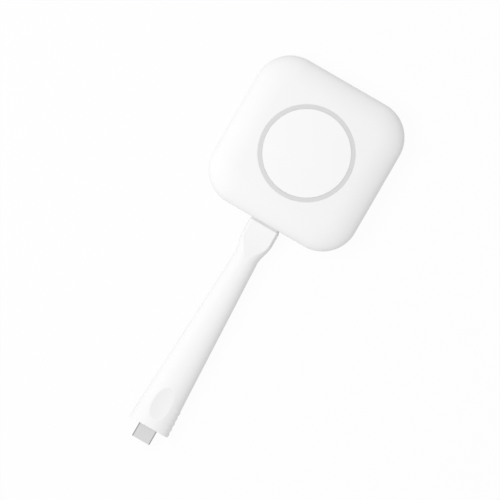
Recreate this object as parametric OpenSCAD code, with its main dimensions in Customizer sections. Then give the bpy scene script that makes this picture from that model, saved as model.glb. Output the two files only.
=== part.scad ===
// Wireless dongle: a soft square puck with one large round button, and a flexible tail
// that ends in a USB-C plug. Millimetres. The puck's centre is at x = y = 0, the ground
// is z = 0, the top face looks along +Z and the tail points along -Y.

/* [Puck] */
// Width of the square puck, side to side
puck_w = 68; // [62:0.5:80]
// Height from the ground to the top face
puck_h = 14.5; // [14:0.1:18]
// Radius of the puck's corners in plan
corner_r = 15.5; // [13.5:0.5:20]
// Plan width of the soft rim round the top face
rim_top_run = 12; // [8:0.5:13]
// Drop of that rim from the top face to the widest line
rim_top_drop = 5.5; // [4:0.1:6]
// Plan width of the rim below the widest line
rim_base_run = 7; // [5:0.5:9]
// Drop of the lower rim to the flat underside
rim_base_drop = 5.9; // [5:0.1:6.4]
// Wall thickness of both shells
shell_wall = 1.8; // [1.5:0.1:2]
// Width of the shadow gap along the seam
seam_gap = 0.2; // [0.1:0.05:0.4]
// Thickness of the anti-slip pad under the puck
pad_t = 1.2; // [1:0.1:1.4]
// Depth of the pad's seat in the bottom shell
pad_seat = 0.6; // [0.4:0.1:0.8]

/* [Button] */
// Outer diameter of the light ring that shows
ring_d = 40.8; // [36:0.1:44]
// Width of the light ring that shows
ring_w = 2; // [1.4:0.1:3]
// Radial running gap between the cap and the ring
cap_gap = 0.1; // [0.1:0.01:0.3]
// Thickness of the cap's plate
cap_t = 1.6; // [1.2:0.1:1.8]
// How far the button travels
press_travel = 0.4; // [0.2:0.05:0.5]
// Outer diameter of a return spring
spring_d = 3.2; // [2.6:0.1:3.4]
// Wire diameter of a return spring
spring_wire = 0.36; // [0.25:0.01:0.45]
// Turns of a return spring
spring_turns = 4; // [3:1:5]

/* [Boards] */
// Thickness of the main board
board_t = 1; // [0.8:0.1:1.2]
// Gap between the main board and the inside of the wall
board_gap = 2.7; // [1.5:0.1:5]
// Thickness of the heat spreader
spreader_t = 1; // [0.8:0.1:1.2]
// Thickness of the pad between heat spreader and shield
thermal_t = 0.7; // [0.5:0.1:0.9]
// Height of the shield can under the board
can_h = 1.8; // [1.6:0.1:2]
// Number of lamps that light the ring
lamp_count = 12; // [6:2:16]

/* [Tail] */
// Length of the tail from the puck's edge to its end face
tail_len = 97.5; // [80:0.5:130]
// Height of the tail's centre line above the ground
tail_axis_h = 5.8; // [5.6:0.1:6]
// Gap between the puck and the tail's collar
root_gap = 0.9; // [0.5:0.1:1.4]
// Width of the flat collar
collar_w = 14; // [13.4:0.1:15]
// Thickness of the flat collar
collar_t = 5.8; // [5.6:0.1:6.4]
// Plan width of the collar's steep sides
collar_side = 1.3; // [0.8:0.1:2]
// Where the collar starts to narrow, from the puck's edge
taper_start = 7; // [6:0.1:8]
// Where the neck is narrowest, from the puck's edge
taper_end = 16; // [14:0.5:20]
// Width of the tail at the neck
neck_w = 10.5; // [9:0.1:12]
// Thickness of the tail at the neck
neck_t = 8.6; // [7:0.1:9]
// Width of the tail at its end face
end_w = 18.1; // [16.5:0.1:20]
// Thickness of the tail at its end face
end_t = 11.2; // [10:0.1:11.4]
// Depth of the thumb recess
recess_depth = 0.85; // [0.5:0.05:1]
// Distance from the end face to the middle of the thumb recess
recess_back = 11.5; // [10:0.1:14]
// Height of a side grip rib
rib_h = 0.34; // [0.15:0.01:0.4]
// Pitch of the side grip ribs
rib_pitch = 2.5; // [2:0.1:3]
// Number of grip ribs on each side
rib_count = 5; // [3:1:6]
// Diameter of the cable inside the tail
cable_d = 3.2; // [2.8:0.1:3.4]

/* [Plug] */
// Width of the USB-C plug's metal shell
plug_w = 8.34; // [8.3:0.01:8.4]
// Thickness of the USB-C plug's metal shell
plug_t = 2.56; // [2.5:0.01:2.6]
// How far the plug stands out of the tail
plug_out = 6.45; // [6:0.05:7]
// Sheet thickness of the metal shell
plug_sheet = 0.25; // [0.2:0.01:0.3]
// Number of contacts in each row
contact_count = 12; // [10:1:12]

/* [Hidden] */
$fn = 48;
over = 1;           // how far a cut runs past the face it opens
touch_gap = 0.05;   // gap between pieces that meet but aren't one

// Heights in the puck, from the ground up
base_z = pad_t - pad_seat;
floor_z = base_z + shell_wall;
spreader_top = floor_z + spreader_t;
can_z = spreader_top + thermal_t;
board_z = can_z + can_h;
board_top = board_z + board_t;
deck_rise = 1.4;
deck_t = 1;
deck_z = board_top + deck_rise;
deck_top = deck_z + deck_t;
cap_under = puck_h - cap_t;
ceiling_z = puck_h - shell_wall;
rim_low_z = base_z + rim_base_drop;
rim_high_z = puck_h - rim_top_drop;
seam_rise = 0.7;
seam_z = rim_low_z + seam_rise;

// Plan of the puck
half = puck_w / 2;
core = half - corner_r;
rim_steps = 10;
rim_fn = 64;

// Lip between the shells
lip_h = 1.1;
lip_share = 0.44;
lip_t = shell_wall * lip_share;
lip_gap = 0.1;

// Screws that hold the case, and their posts
case_screw_in = 11.5;
case_at = half - case_screw_in;
post_r = 2.9;
post_meet_z = board_top + touch_gap;
post_bite = 0.6;
case_hole_r = 1.15;
case_shank_r = 0.85;
case_head_r = 1.8;
case_head_h = 1;
case_screw_end = 2.2;
drive_r = 0.55;
drive_depth = 0.6;
head_fit = 0.15;

// Pad under the puck
pad_edge = 0.5;
pad_w = puck_w - 2 * rim_base_run - 2 * pad_edge;
pad_corner = corner_r - rim_base_run - pad_edge;

// Light ring
ring_r = ring_d / 2;
ring_in_r = ring_r - ring_w;
ring_fit = 0.1;
ring_sink = 0.1;
ring_flange = 1.6;
ring_flange_r = ring_r + ring_flange;
ring_flange_z = ceiling_z - touch_gap;
ring_flange_t = 0.95;
ring_web_z = ring_flange_z - ring_flange_t;
guide_t = 1.4;
guide_r = ring_flange_r - guide_t / 2;
ring_edge = 0.15;
locate_gap = 0.2;
locate_t = 1.2;
locate_h = 1.9;
opening_edge = 0.35;
ring_fn = 96;

// Button cap
cap_r = ring_in_r - cap_gap;
cap_edge = 0.25;
cap_skirt_t = 1.1;
cap_lip = 1.2;
cap_lip_t = 0.8;
cap_lip_gap = 0.1;
cap_lip_top = ring_web_z - cap_lip_gap;
plunger_r = 2.5;
cap_rib_t = 0.8;
cap_rib_h = 0.9;
cap_rib_count = 8;
peg_r = 0.85;
peg_h = 1.4;

// Springs and their seats
spring_at = 12;
spring_seat = 0.3;
spring_seat_fit = 0.2;
spring_count = 4;
spring_z = deck_top - spring_seat;
spring_sides = 6;
spring_rings = 12;

// Frame under the button, and its screws
frame_screw_in = 1.9;
frame_screw_at = ring_in_r - frame_screw_in;
frame_gap = 0.3;
frame_r = ring_flange_r + frame_gap - touch_gap;
frame_leg_r = 2.6;
frame_shank_r = 0.9;
frame_hole_r = 1.05;
frame_head_r = 1.6;
frame_head_h = 0.9;
frame_boss_r = 2.4;
frame_screw_end = 0.8;
frame_screw_tip = floor_z + frame_screw_end;
frame_well = 0.8;

// Switch at the middle of the board
switch_w = 6.2;
stem_r = 1.6;
stem_stay = 0.2;
stem_out = press_travel + stem_stay;
stem_gap = 0.04;
stem_foot_r = 2.2;
stem_foot_t = 0.35;
stem_foot_gap = 0.08;
switch_cover_t = 0.3;
switch_well_r = 2.5;
switch_base_t = 0.4;
contact_disc_r = 1.1;
contact_disc_t = 0.12;
stem_foot_z = board_top + switch_base_t + contact_disc_t + stem_foot_gap + press_travel;
switch_top = stem_foot_z + stem_foot_t + touch_gap + switch_cover_t;
switch_h = switch_top - board_top;
switch_lead_w = 0.9;
switch_lead_out = 1;
switch_lead_t = 0.2;
switch_leads_at = 1.9;

// Contactless antenna round the switch
coil_in_r = 5.3;
coil_out_r = 10.1;
ferrite_t = 0.2;
flex_t = 0.12;
trace_t = 0.06;
trace_w = 0.5;
trace_pitch = 0.9;
trace_margin = 0.5;
trace_turns = 4;
trace_steps = 24;

// Main board
board_half = half - shell_wall - board_gap;
board_corner = corner_r - shell_wall;
post_clear = 0.3;
notch_clear = 0.6;

// Pieces on the underside of the board, about the middle
can_half = 9;
can_sheet = 0.2;
can_lid_t = 0.3;
chip_clear = 0.5;
soc_w = 8.4;
soc_t = 1;
soc_x = -3.9;
memory_w = 6;
memory_d = 7.2;
memory_t = 0.9;
memory_x = 4.9;
memory_y = 4.2;

// Pieces on the underside of the board, round the shield
flash_size = [6, 5, 0.8];
flash_at = [-17.5, 4];
crystal_size = [3.2, 2.5, 0.7];
crystal_at = [-16.6, -3.4];
inductor_w = 3.4;
inductor_t = 1.7;
inductor_x = 17;
inductor_pitch = 4.6;
inductor_count = 3;
cap_size = [1.6, 0.9, 0.8];
cap_rows = [-9.8, -8.2, 8.2, 9.8];
cap_row_x = 17.5;
cap_row_pitch = 2.6;
cap_per_row = 3;

// Lamps under the ring
lamp_size = [1.6, 1.2, 0.6];

// Heat spreader
spreader_in = 0.5;
spreader_half = case_at - spreader_in;
spreader_corner = 8;
spreader_clear = 0.3;

// Radio module at the far side of the board
wifi_y = 19.5;
wifi_w = 14;
wifi_d = 10;
wifi_t = 0.6;
wifi_chip_w = 6;
wifi_chip_t = 0.8;
wifi_can_inset = 0.7;
wifi_can_h = 1.3;
wifi_can_sheet = 0.2;

// Stamped antennas along two sides of the board
aerial_in = 0.6;
aerial_len = 20;
aerial_h = 3.6;
aerial_t = 0.4;
aerial_shelf = 3;
aerial_slot = 1.2;
aerial_leg_w = 2;

// Lead from the tail into the board
socket_in = 17.4;
socket_y = half - socket_in;
socket_w = 8.4;
socket_d = 4;
socket_h = 1.6;
lead_plug_w = 7.4;
lead_plug_d = 2;
lead_plug_h = 1.2;
socket_mid = socket_h / 2;
lead_plug_back = -socket_y - socket_d / 2 - lead_plug_d / 2;
lead_wire_r = 0.33;
lead_starts = [[-1.02, -0.6], [-0.38, -0.9], [0.38, -0.9], [1.02, -0.6]];
lead_ends_share = [-0.33, -0.11, 0.11, 0.33];

// Anchor of the tail, clamped between the shells
root_step = 0.35;
anchor_w = collar_w - 2 * root_step;
anchor_t = collar_t - 2 * root_step;
anchor_round = 1.5;
anchor_fit = 0.1;
anchor_end_in = 10;
anchor_flange_in = 7.6;
anchor_flange_t = 1.4;
anchor_flange_w = 16;
anchor_flange_h = 6.4;
spigot_len = 6;
spigot_wall = 0.65;
spigot_w = 10.2;
spigot_t = cable_d + 2 * spigot_wall;
spigot_round = 1.2;
cable_fit = 0.05;
clamp_half_w = 9.6;
clamp_wall_gap = 2.2;

// Tail sleeve
collar_power = 1.5;
neck_power = 2;
end_power = 2.05;
swell_start = 8.5;
swell_end = 19;
sleeve_sides = 40;
sleeve_edge = 0.2;
collar_rings = 2;
taper_rings = 11;
plain_rings = 9;
rings_per_rib = 4;
rib_first_back = 1.2;
rib_side_share = 0.55;
rib_fade_share = 0.3;
recess_cross_r = 27;
recess_long_r = 32;
recess_w = 10;
sleeve_end_wall = 1;

// Pieces inside the plug end, measured back from the end face
core_w = 12.4;
core_t = 6.4;
core_round = 1.4;
core_len = 18;
can_back_w = 10.4;
can_back_t = 4.2;
can_back_in = 4;
can_back_sheet = 0.25;
can_back_round = 0.8;
core_front = 3.5;
ferrule_t = 0.35;
ferrule_len = 5;
paddle_w = 8.4;
paddle_t = 0.76;
paddle_gap = 1.25;
paddle_bite = 1.4;
tongue_slot_w = 6.8;
tongue_slot_t = 1;
tongue_sink = 0.2;
shell_in = 4.2;
shell_lip = 0.15;
contact_w = 0.25;
contact_t = (tongue_slot_t - paddle_t) / 2;
contact_pitch = 0.5;
contact_sink = 0.9;
contact_back = 1.2;
latch_t = 0.25;
latch_h = 0.6;
latch_sink = 1.1;
latch_hook = 0.16;
latch_hook_len = 0.7;

white = [0.95, 0.95, 0.94];
pale = [0.87, 0.87, 0.86];
soft_white = [0.93, 0.93, 0.92];
steel = [0.75, 0.76, 0.77];
green = [0.1, 0.32, 0.22];
black = [0.1, 0.1, 0.11];
copper = [0.8, 0.5, 0.3];
gold = [0.85, 0.7, 0.35];

function blend(a, b, t) = a + (b - a) * t;
function ease(t) = let (c = min(1, max(0, t))) c * c * (3 - 2 * c);

// Rounded rectangle with its centre at the origin
module rounded(w, d, r) {
    square([w - 2 * r, d], center = true);
    square([w, d - 2 * r], center = true);
    for (x = [-1, 1], y = [-1, 1])
        translate([x * (w / 2 - r), y * (d / 2 - r)]) circle(r);
}

// Slot with two round ends
module stadium(w, t) {
    square([w - t, t], center = true);
    for (x = [-1, 1]) translate([x * (w - t) / 2, 0]) circle(t / 2);
}

// Block on the centre line, from height z up
module block(size, at, z) {
    translate([at[0] - size[0] / 2, at[1] - size[1] / 2, z]) cube(size);
}

// Bar along the tail, between two distances from the puck's edge
module tail_bar(from, to) {
    translate([0, -(half + from), tail_axis_h])
        rotate([90, 0, 0])
            linear_extrude(to - from) children();
}

// The four places at the corners of a square
module at_corners(d) {
    for (x = [-1, 1], y = [-1, 1]) translate([x * d, y * d, 0]) children();
}

// Copies round the middle
module around(count, r, turn) {
    for (i = [0 : count - 1]) rotate(turn + 360 * i / count) translate([r, 0, 0]) children();
}

// Half section of the puck from a corner's centre line to its edge
function rim_profile(inset) = let (
    low_x = corner_r - rim_base_run, low_a = rim_base_run - inset, low_b = rim_base_drop - inset,
    high_x = corner_r - rim_top_run, high_a = rim_top_run - inset, high_b = rim_top_drop - inset)
    concat(
        [[0, rim_low_z - low_b]],
        [for (i = [0 : rim_steps]) let (a = -90 + 90 * i / rim_steps)
            [low_x + low_a * cos(a), rim_low_z + low_b * sin(a)]],
        [for (i = [0 : rim_steps]) let (a = 90 * i / rim_steps)
            [high_x + high_a * cos(a), rim_high_z + high_b * sin(a)]],
        [[0, rim_high_z + high_b]]);

// The whole puck, or its inside when it is inset by the wall
module puck_form(inset) {
    low = base_z + inset;
    high = puck_h - inset;
    translate([-core, -core, low]) cube([2 * core, 2 * core, high - low]);
    for (side = [0 : 3]) rotate(90 * side) {
        translate([core, core, 0])
            rotate([90, 0, 0]) linear_extrude(2 * core) polygon(rim_profile(inset));
        translate([core, core, 0])
            rotate_extrude(angle = 90, $fn = rim_fn) polygon(rim_profile(inset));
    }
}

// Prism over the whole plan between two heights
module slab(from, to) {
    translate([-half - over, -half - over, from])
        cube([puck_w + 2 * over, puck_w + 2 * over, to - from]);
}

// Rounded prism that follows the puck's edge, inset from it
module plan_prism(inset, from, to) {
    translate([0, 0, from])
        linear_extrude(to - from)
            rounded(puck_w - 2 * inset, puck_w - 2 * inset, corner_r - inset);
}

// Channel that the tail's anchor lies in, with its clearance
module anchor_channel() {
    tail_bar(-anchor_end_in - over, over)
        rounded(anchor_w + 2 * anchor_fit, anchor_t + 2 * anchor_fit, anchor_round);
    tail_bar(-anchor_flange_in - anchor_flange_t - anchor_fit, -anchor_flange_in + anchor_fit)
        square([anchor_flange_w + 2 * anchor_fit, anchor_flange_h + 2 * anchor_fit], center = true);
}

// Clamp block for the anchor, inside the shell's wall
module clamp_block(from, to) {
    intersection() {
        puck_form(shell_wall / 2);
        translate([-clamp_half_w, -half + clamp_wall_gap, from])
            cube([2 * clamp_half_w, anchor_end_in - clamp_wall_gap, to - from]);
    }
}

module top_shell() color(white) {
    difference() {
        union() {
            difference() {
                puck_form(0);
                puck_form(shell_wall);
                slab(-over, seam_z);
                plan_prism(shell_wall - lip_t - lip_gap, 0, seam_z + lip_h + lip_gap);
            }
            at_corners(case_at)
                translate([0, 0, post_meet_z])
                    cylinder(r = post_r, h = ceiling_z + post_bite - post_meet_z);
            translate([0, 0, ceiling_z - locate_h])
                cylinder(r = ring_flange_r + locate_gap + locate_t, h = locate_h + post_bite);
            clamp_block(tail_axis_h + touch_gap, ceiling_z + post_bite);
        }
        translate([0, 0, ceiling_z - locate_h - over])
            cylinder(r = ring_flange_r + locate_gap, h = locate_h + over, $fn = ring_fn);
        cylinder(r = ring_r + ring_fit, h = puck_h + over, $fn = ring_fn);
        translate([0, 0, puck_h - opening_edge])
            cylinder(r1 = ring_r + ring_fit, r2 = ring_r + ring_fit + opening_edge,
                h = opening_edge, $fn = ring_fn);
        at_corners(case_at)
            translate([0, 0, post_meet_z - over])
                cylinder(r = case_shank_r, h = ceiling_z - post_meet_z);
        anchor_channel();
    }
}

module bottom_shell() color(white) {
    difference() {
        union() {
            difference() {
                puck_form(0);
                puck_form(shell_wall);
                slab(seam_z - seam_gap, puck_h + over);
            }
            difference() {
                plan_prism(shell_wall - lip_t, seam_z - seam_gap - lip_h, seam_z + lip_h);
                plan_prism(shell_wall, 0, puck_h);
            }
            at_corners(case_at)
                translate([0, 0, base_z]) cylinder(r = post_r, h = board_top - base_z);
            around(4, frame_screw_at, 45)
                translate([0, 0, pad_t]) cylinder(r = frame_boss_r, h = board_z - pad_t);
            clamp_block(base_z + shell_wall / 2, tail_axis_h);
        }
        translate([0, 0, base_z - over])
            linear_extrude(pad_seat + over)
                rounded(pad_w + 2 * head_fit, pad_w + 2 * head_fit, pad_corner + head_fit);
        at_corners(case_at) {
            cylinder(r = case_hole_r, h = board_top + over);
            cylinder(r = case_head_r + head_fit, h = floor_z);
        }
        around(4, frame_screw_at, 45)
            translate([0, 0, frame_screw_tip]) cylinder(r = frame_shank_r, h = board_z);
        anchor_channel();
    }
}

module base_pad() color([0.55, 0.56, 0.57]) {
    linear_extrude(pad_t - touch_gap) rounded(pad_w, pad_w, pad_corner);
}

// Pan-head screw that points up, with its head's face at z = 0
module screw(head_r, head_h, shank_r, len) {
    difference() {
        union() {
            cylinder(r = head_r, h = head_h);
            cylinder(r = shank_r, h = len);
        }
        translate([0, 0, -over]) cylinder(r = drive_r, h = over + drive_depth, $fn = 6);
    }
}

module case_screws() color(steel) {
    head_z = floor_z - case_head_h;
    at_corners(case_at)
        translate([0, 0, head_z])
            screw(case_head_r, case_head_h, case_shank_r, ceiling_z - case_screw_end - head_z);
}

module light_ring() color(pale) {
    top = puck_h - ring_sink;
    rotate_extrude($fn = ring_fn) polygon([
        [ring_in_r, ring_web_z], [ring_flange_r - guide_t, ring_web_z],
        [ring_flange_r - guide_t, deck_top + touch_gap], [ring_flange_r, deck_top + touch_gap],
        [ring_flange_r, ring_flange_z], [ring_r, ring_flange_z],
        [ring_r, top - ring_edge], [ring_r - ring_edge, top],
        [ring_in_r + ring_edge, top], [ring_in_r, top - ring_edge]]);
}

module button_cap() color(white) {
    rotate_extrude($fn = ring_fn) polygon(concat(
        [[0, cap_under], [cap_r - cap_skirt_t, cap_under],
            [cap_r - cap_skirt_t, cap_lip_top - cap_lip_t],
            [cap_r + cap_lip, cap_lip_top - cap_lip_t], [cap_r + cap_lip, cap_lip_top],
            [cap_r, cap_lip_top]],
        [for (i = [0 : 4]) let (a = 90 * i / 4)
            [cap_r - cap_edge + cap_edge * cos(a), puck_h - cap_edge + cap_edge * sin(a)]],
        [[0, puck_h]]));
    translate([0, 0, switch_top + stem_out + stem_gap])
        cylinder(r = plunger_r, h = cap_under + over / 2 - switch_top - stem_out - stem_gap);
    around(spring_count, spring_at, 0)
        translate([0, 0, cap_under - peg_h]) cylinder(r = peg_r, h = peg_h + over / 2);
    around(cap_rib_count, 0, 180 / cap_rib_count)
        translate([plunger_r / 2, -cap_rib_t / 2, cap_under - cap_rib_h])
            cube([cap_r - cap_skirt_t / 2 - plunger_r / 2, cap_rib_t, cap_rib_h + over / 2]);
}

// One coil spring as a swept wire, its ends flat against its seats
function spring_point(t, a, len, r, wire) = let (
    turn = 360 * spring_turns * t, z = wire + (len - 2 * wire) * t)
    [(r + wire * cos(a)) * cos(turn), (r + wire * cos(a)) * sin(turn), z + wire * sin(a)];

module coil_spring(len) {
    wire = spring_wire / 2;
    r = spring_d / 2 - wire;
    n = spring_turns * spring_rings;
    sides = spring_sides;
    points = [for (j = [0 : n], i = [0 : sides - 1])
        spring_point(j / n, 360 * i / sides, len, r, wire)];
    walls = [for (j = [0 : n - 1], i = [0 : sides - 1]) let (k = (i + 1) % sides) each [
        [j * sides + i, j * sides + k, (j + 1) * sides + i],
        [j * sides + k, (j + 1) * sides + k, (j + 1) * sides + i]]];
    polyhedron(points, concat(walls, [[for (i = [sides - 1 : -1 : 0]) i]],
        [[for (i = [0 : sides - 1]) n * sides + i]]), convexity = 10);
}

module button_springs() color(steel) {
    around(spring_count, spring_at, 0)
        translate([0, 0, spring_z]) coil_spring(cap_under - spring_z);
}

module button_frame() color(white) {
    difference() {
        union() {
            translate([0, 0, deck_z]) cylinder(r = frame_r, h = deck_t, $fn = ring_fn);
            around(4, frame_screw_at, 45)
                translate([0, 0, board_top]) cylinder(r = frame_leg_r, h = deck_rise + deck_t);
        }
        translate([0, 0, deck_z - over])
            linear_extrude(deck_t + 2 * over)
                square(switch_w + 2 * frame_well, center = true);
        around(4, frame_screw_at, 45) {
            translate([0, 0, board_top - over])
                cylinder(r = frame_hole_r, h = deck_rise + deck_t + 2 * over);
            translate([0, 0, deck_top - frame_head_h])
                cylinder(r = frame_head_r + head_fit, h = frame_head_h + over);
        }
        around(spring_count, spring_at, 0)
            translate([0, 0, spring_z])
                cylinder(r = spring_d / 2 + spring_seat_fit, h = spring_seat + over);
        around(lamp_count, guide_r, 180 / lamp_count)
            translate([0, 0, deck_z - over])
                cylinder(r = guide_t / 2, h = deck_t + 2 * over);
    }
}

module frame_screws() color(steel) {
    around(4, frame_screw_at, 45)
        translate([0, 0, deck_top])
            mirror([0, 0, 1])
                screw(frame_head_r, frame_head_h, frame_shank_r, deck_top - frame_screw_tip);
}

module switch_body() color(black) {
    difference() {
        block([switch_w, switch_w, switch_h], [0, 0], board_top);
        translate([0, 0, board_top + switch_base_t])
            cylinder(r = switch_well_r, h = switch_h - switch_base_t - switch_cover_t);
        translate([0, 0, board_top + switch_base_t]) cylinder(r = stem_r + stem_gap, h = switch_h);
    }
}

module switch_contacts() color(gold) {
    for (x = [-1, 1], y = [-1, 1])
        block([switch_lead_out, switch_lead_w, switch_lead_t],
            [x * (switch_w + switch_lead_out) / 2, y * switch_leads_at], board_top);
    translate([0, 0, board_top + switch_base_t]) cylinder(r = contact_disc_r, h = contact_disc_t);
}

module switch_stem() color([0.8, 0.78, 0.72]) {
    translate([0, 0, stem_foot_z]) cylinder(r = stem_foot_r, h = stem_foot_t);
    translate([0, 0, stem_foot_z]) cylinder(r = stem_r, h = switch_top + stem_out - stem_foot_z);
}

module nfc_ferrite() color([0.2, 0.2, 0.21]) {
    translate([0, 0, deck_top])
        linear_extrude(ferrite_t) difference() {
            circle(coil_out_r);
            circle(coil_in_r);
        }
}

// Edge of the spiral trace, at one side of its centre line
function trace_edge(side, i) = let (
    turn = i / trace_steps,
    r = coil_out_r - trace_margin - trace_w / 2 - trace_pitch * turn + side * trace_w / 2)
    [r * cos(360 * turn), r * sin(360 * turn)];

module nfc_antenna() color(copper) {
    last = trace_turns * trace_steps;
    translate([0, 0, deck_top + ferrite_t])
        linear_extrude(flex_t) difference() {
            circle(coil_out_r);
            circle(coil_in_r);
        }
    translate([0, 0, deck_top + ferrite_t])
        linear_extrude(flex_t + trace_t)
            polygon(concat([for (i = [0 : last]) trace_edge(1, i)],
                [for (i = [last : -1 : 0]) trace_edge(-1, i)]));
}

module main_board() color(green) {
    translate([0, 0, board_z])
        linear_extrude(board_t) difference() {
            rounded(2 * board_half, 2 * board_half, board_corner);
            for (x = [-1, 1], y = [-1, 1])
                translate([x * case_at, y * case_at]) circle(post_r + post_clear);
            for (i = [0 : 3])
                rotate(45 + 90 * i) translate([frame_screw_at, 0]) circle(frame_hole_r);
            translate([-clamp_half_w - notch_clear, -half])
                square([2 * (clamp_half_w + notch_clear), anchor_end_in + notch_clear]);
        }
}

module status_leds() color([0.98, 0.95, 0.8]) {
    around(lamp_count, guide_r, 180 / lamp_count)
        block([lamp_size[1], lamp_size[0], lamp_size[2]], [0, 0], board_top);
}

module processor() color(black) {
    block([soc_w, soc_w, soc_t], [soc_x, 0], board_z - soc_t);
}

module memory_chips() color(black) {
    for (y = [-1, 1])
        block([memory_w, memory_d, memory_t], [memory_x, y * memory_y], board_z - memory_t);
}

module flash_chip() color(black) {
    block(flash_size, flash_at, board_z - flash_size[2]);
}

module crystal() color(steel) {
    block(crystal_size, crystal_at, board_z - crystal_size[2]);
}

module power_inductors() color([0.3, 0.3, 0.31]) {
    for (i = [0 : inductor_count - 1])
        translate([inductor_x, (i - (inductor_count - 1) / 2) * inductor_pitch, board_z - inductor_t])
            linear_extrude(inductor_t)
                rounded(inductor_w, inductor_w, inductor_w * 0.2);
}

module capacitors() color([0.72, 0.62, 0.48]) {
    for (y = cap_rows, side = [-1, 1], i = [0 : cap_per_row - 1])
        block(cap_size, [side * cap_row_x + (i - 1) * cap_row_pitch, y], board_z - cap_size[2]);
}

module soc_shield_frame() color(steel) {
    translate([0, 0, can_z + can_lid_t])
        linear_extrude(can_h - can_lid_t) difference() {
            square(2 * can_half, center = true);
            square(2 * (can_half - can_sheet), center = true);
        }
}

module soc_shield_lid() color(steel) {
    block([2 * can_half, 2 * can_half, can_lid_t], [0, 0], can_z);
}

module thermal_pads() color([0.62, 0.66, 0.72]) {
    inner = board_z - soc_t - can_z - can_lid_t;
    block([2 * can_half - 2 * chip_clear, 2 * can_half - 2 * chip_clear, thermal_t],
        [0, 0], spreader_top);
    block([soc_w, soc_w, inner], [soc_x, 0], can_z + can_lid_t);
}

module heat_spreader() color([0.82, 0.83, 0.84]) {
    translate([0, 0, floor_z])
        linear_extrude(spreader_t) difference() {
            rounded(2 * spreader_half, 2 * spreader_half, spreader_corner);
            for (i = [0 : 3])
                rotate(45 + 90 * i) translate([frame_screw_at, 0]) circle(frame_boss_r + spreader_clear);
        }
}

module wifi_module() color(green) {
    block([wifi_w, wifi_d, wifi_t], [0, wifi_y], board_z - wifi_t);
    block([wifi_chip_w, wifi_chip_w, wifi_chip_t], [0, wifi_y], board_z - wifi_t - wifi_chip_t);
}

module wifi_shield() color(steel) {
    w = wifi_w - 2 * wifi_can_inset;
    d = wifi_d - 2 * wifi_can_inset;
    low = board_z - wifi_t - wifi_can_h;
    difference() {
        block([w, d, wifi_can_h], [0, wifi_y], low);
        block([w - 2 * wifi_can_sheet, d - 2 * wifi_can_sheet, wifi_can_h],
            [0, wifi_y], low + wifi_can_sheet);
    }
}

// Bent strip that stands on the board, with a shelf and two legs
module aerial() {
    x = board_half - aerial_in;
    difference() {
        union() {
            translate([x - aerial_t, -aerial_len / 2, board_top])
                cube([aerial_t, aerial_len, aerial_h]);
            translate([x - aerial_shelf, -aerial_len / 2, board_top + aerial_h - aerial_t])
                cube([aerial_shelf, aerial_len, aerial_t]);
        }
        translate([x - aerial_t - over, -aerial_len / 2 + aerial_leg_w, board_top - over])
            cube([aerial_t + 2 * over, aerial_len / 2, over + aerial_h / 2]);
        translate([x - aerial_t - over, aerial_leg_w * 2, board_top - over])
            cube([aerial_t + 2 * over, aerial_len / 2, over + aerial_slot]);
    }
}

module antenna_right() color(gold) {
    aerial();
}

module antenna_left() color(gold) {
    mirror([1, 0, 0]) aerial();
}

module lead_socket() color([0.9, 0.88, 0.8]) {
    difference() {
        block([socket_w, socket_d, socket_h], [0, -socket_y], board_z - socket_h);
        translate([-lead_plug_w / 2 - touch_gap, -socket_y - socket_d / 2 - over,
                board_z - socket_mid - lead_plug_h / 2 - touch_gap])
            cube([lead_plug_w + 2 * touch_gap, lead_plug_d + over, lead_plug_h + 2 * touch_gap]);
    }
}

module lead_plug() color(soft_white) {
    translate([-lead_plug_w / 2, lead_plug_back, board_z - socket_mid - lead_plug_h / 2])
        cube([lead_plug_w, 1.4 * lead_plug_d, lead_plug_h]);
}

// Straight insulated wire between two points
module wire(from, to) {
    run = to - from;
    len = norm(run);
    translate(from)
        rotate([0, acos(run[2] / len), atan2(run[1], run[0])])
            cylinder(r = lead_wire_r, h = len, $fn = 24);
}

module lead_wires() {
    tints = [[0.7, 0.1, 0.1], [0.9, 0.9, 0.9], [0.1, 0.5, 0.2], [0.1, 0.1, 0.1]];
    start_y = -half + anchor_end_in + 2 * touch_gap;
    for (i = [0 : 3])
        color(tints[i])
            wire([lead_starts[i][0], start_y + lead_wire_r, tail_axis_h + lead_starts[i][1]],
                [lead_ends_share[i] * lead_plug_w, lead_plug_back - lead_wire_r, board_z - socket_mid]);
}

module tail_anchor() color(white) {
    difference() {
        union() {
            tail_bar(-anchor_end_in, root_gap)
                rounded(anchor_w, anchor_t, anchor_round);
            tail_bar(-anchor_flange_in - anchor_flange_t, -anchor_flange_in)
                square([anchor_flange_w, anchor_flange_h], center = true);
            tail_bar(0, root_gap + spigot_len) rounded(spigot_w, spigot_t, spigot_round);
        }
        tail_bar(-anchor_end_in - over, root_gap + spigot_len + over)
            circle(cable_d / 2 + cable_fit);
    }
}

module tail_cable() color([0.85, 0.85, 0.85]) {
    tail_bar(-anchor_end_in, tail_len - core_len + ferrule_len) circle(cable_d / 2);
}

// Half width, half thickness, width of the sides and roundness at a distance from the puck
function tail_half_w(s) = s < taper_end
    ? blend(collar_w, neck_w, ease((s - taper_start) / (taper_end - taper_start))) / 2
    : blend(neck_w, end_w, (s - taper_end) / (tail_len - taper_end)) / 2;
function tail_half_t(s) = s < swell_end
    ? blend(collar_t, neck_t, ease((s - swell_start) / (swell_end - swell_start))) / 2
    : blend(neck_t, end_t, (s - swell_end) / (tail_len - swell_end)) / 2;
function tail_side(s) = blend(collar_side, tail_half_w(s),
    ease((s - swell_start) / (swell_end - swell_start)));
function tail_power(s) = s < swell_end
    ? blend(collar_power, neck_power, ease((s - swell_start) / (swell_end - swell_start)))
    : blend(neck_power, end_power, (s - swell_end) / (tail_len - swell_end));

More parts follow.
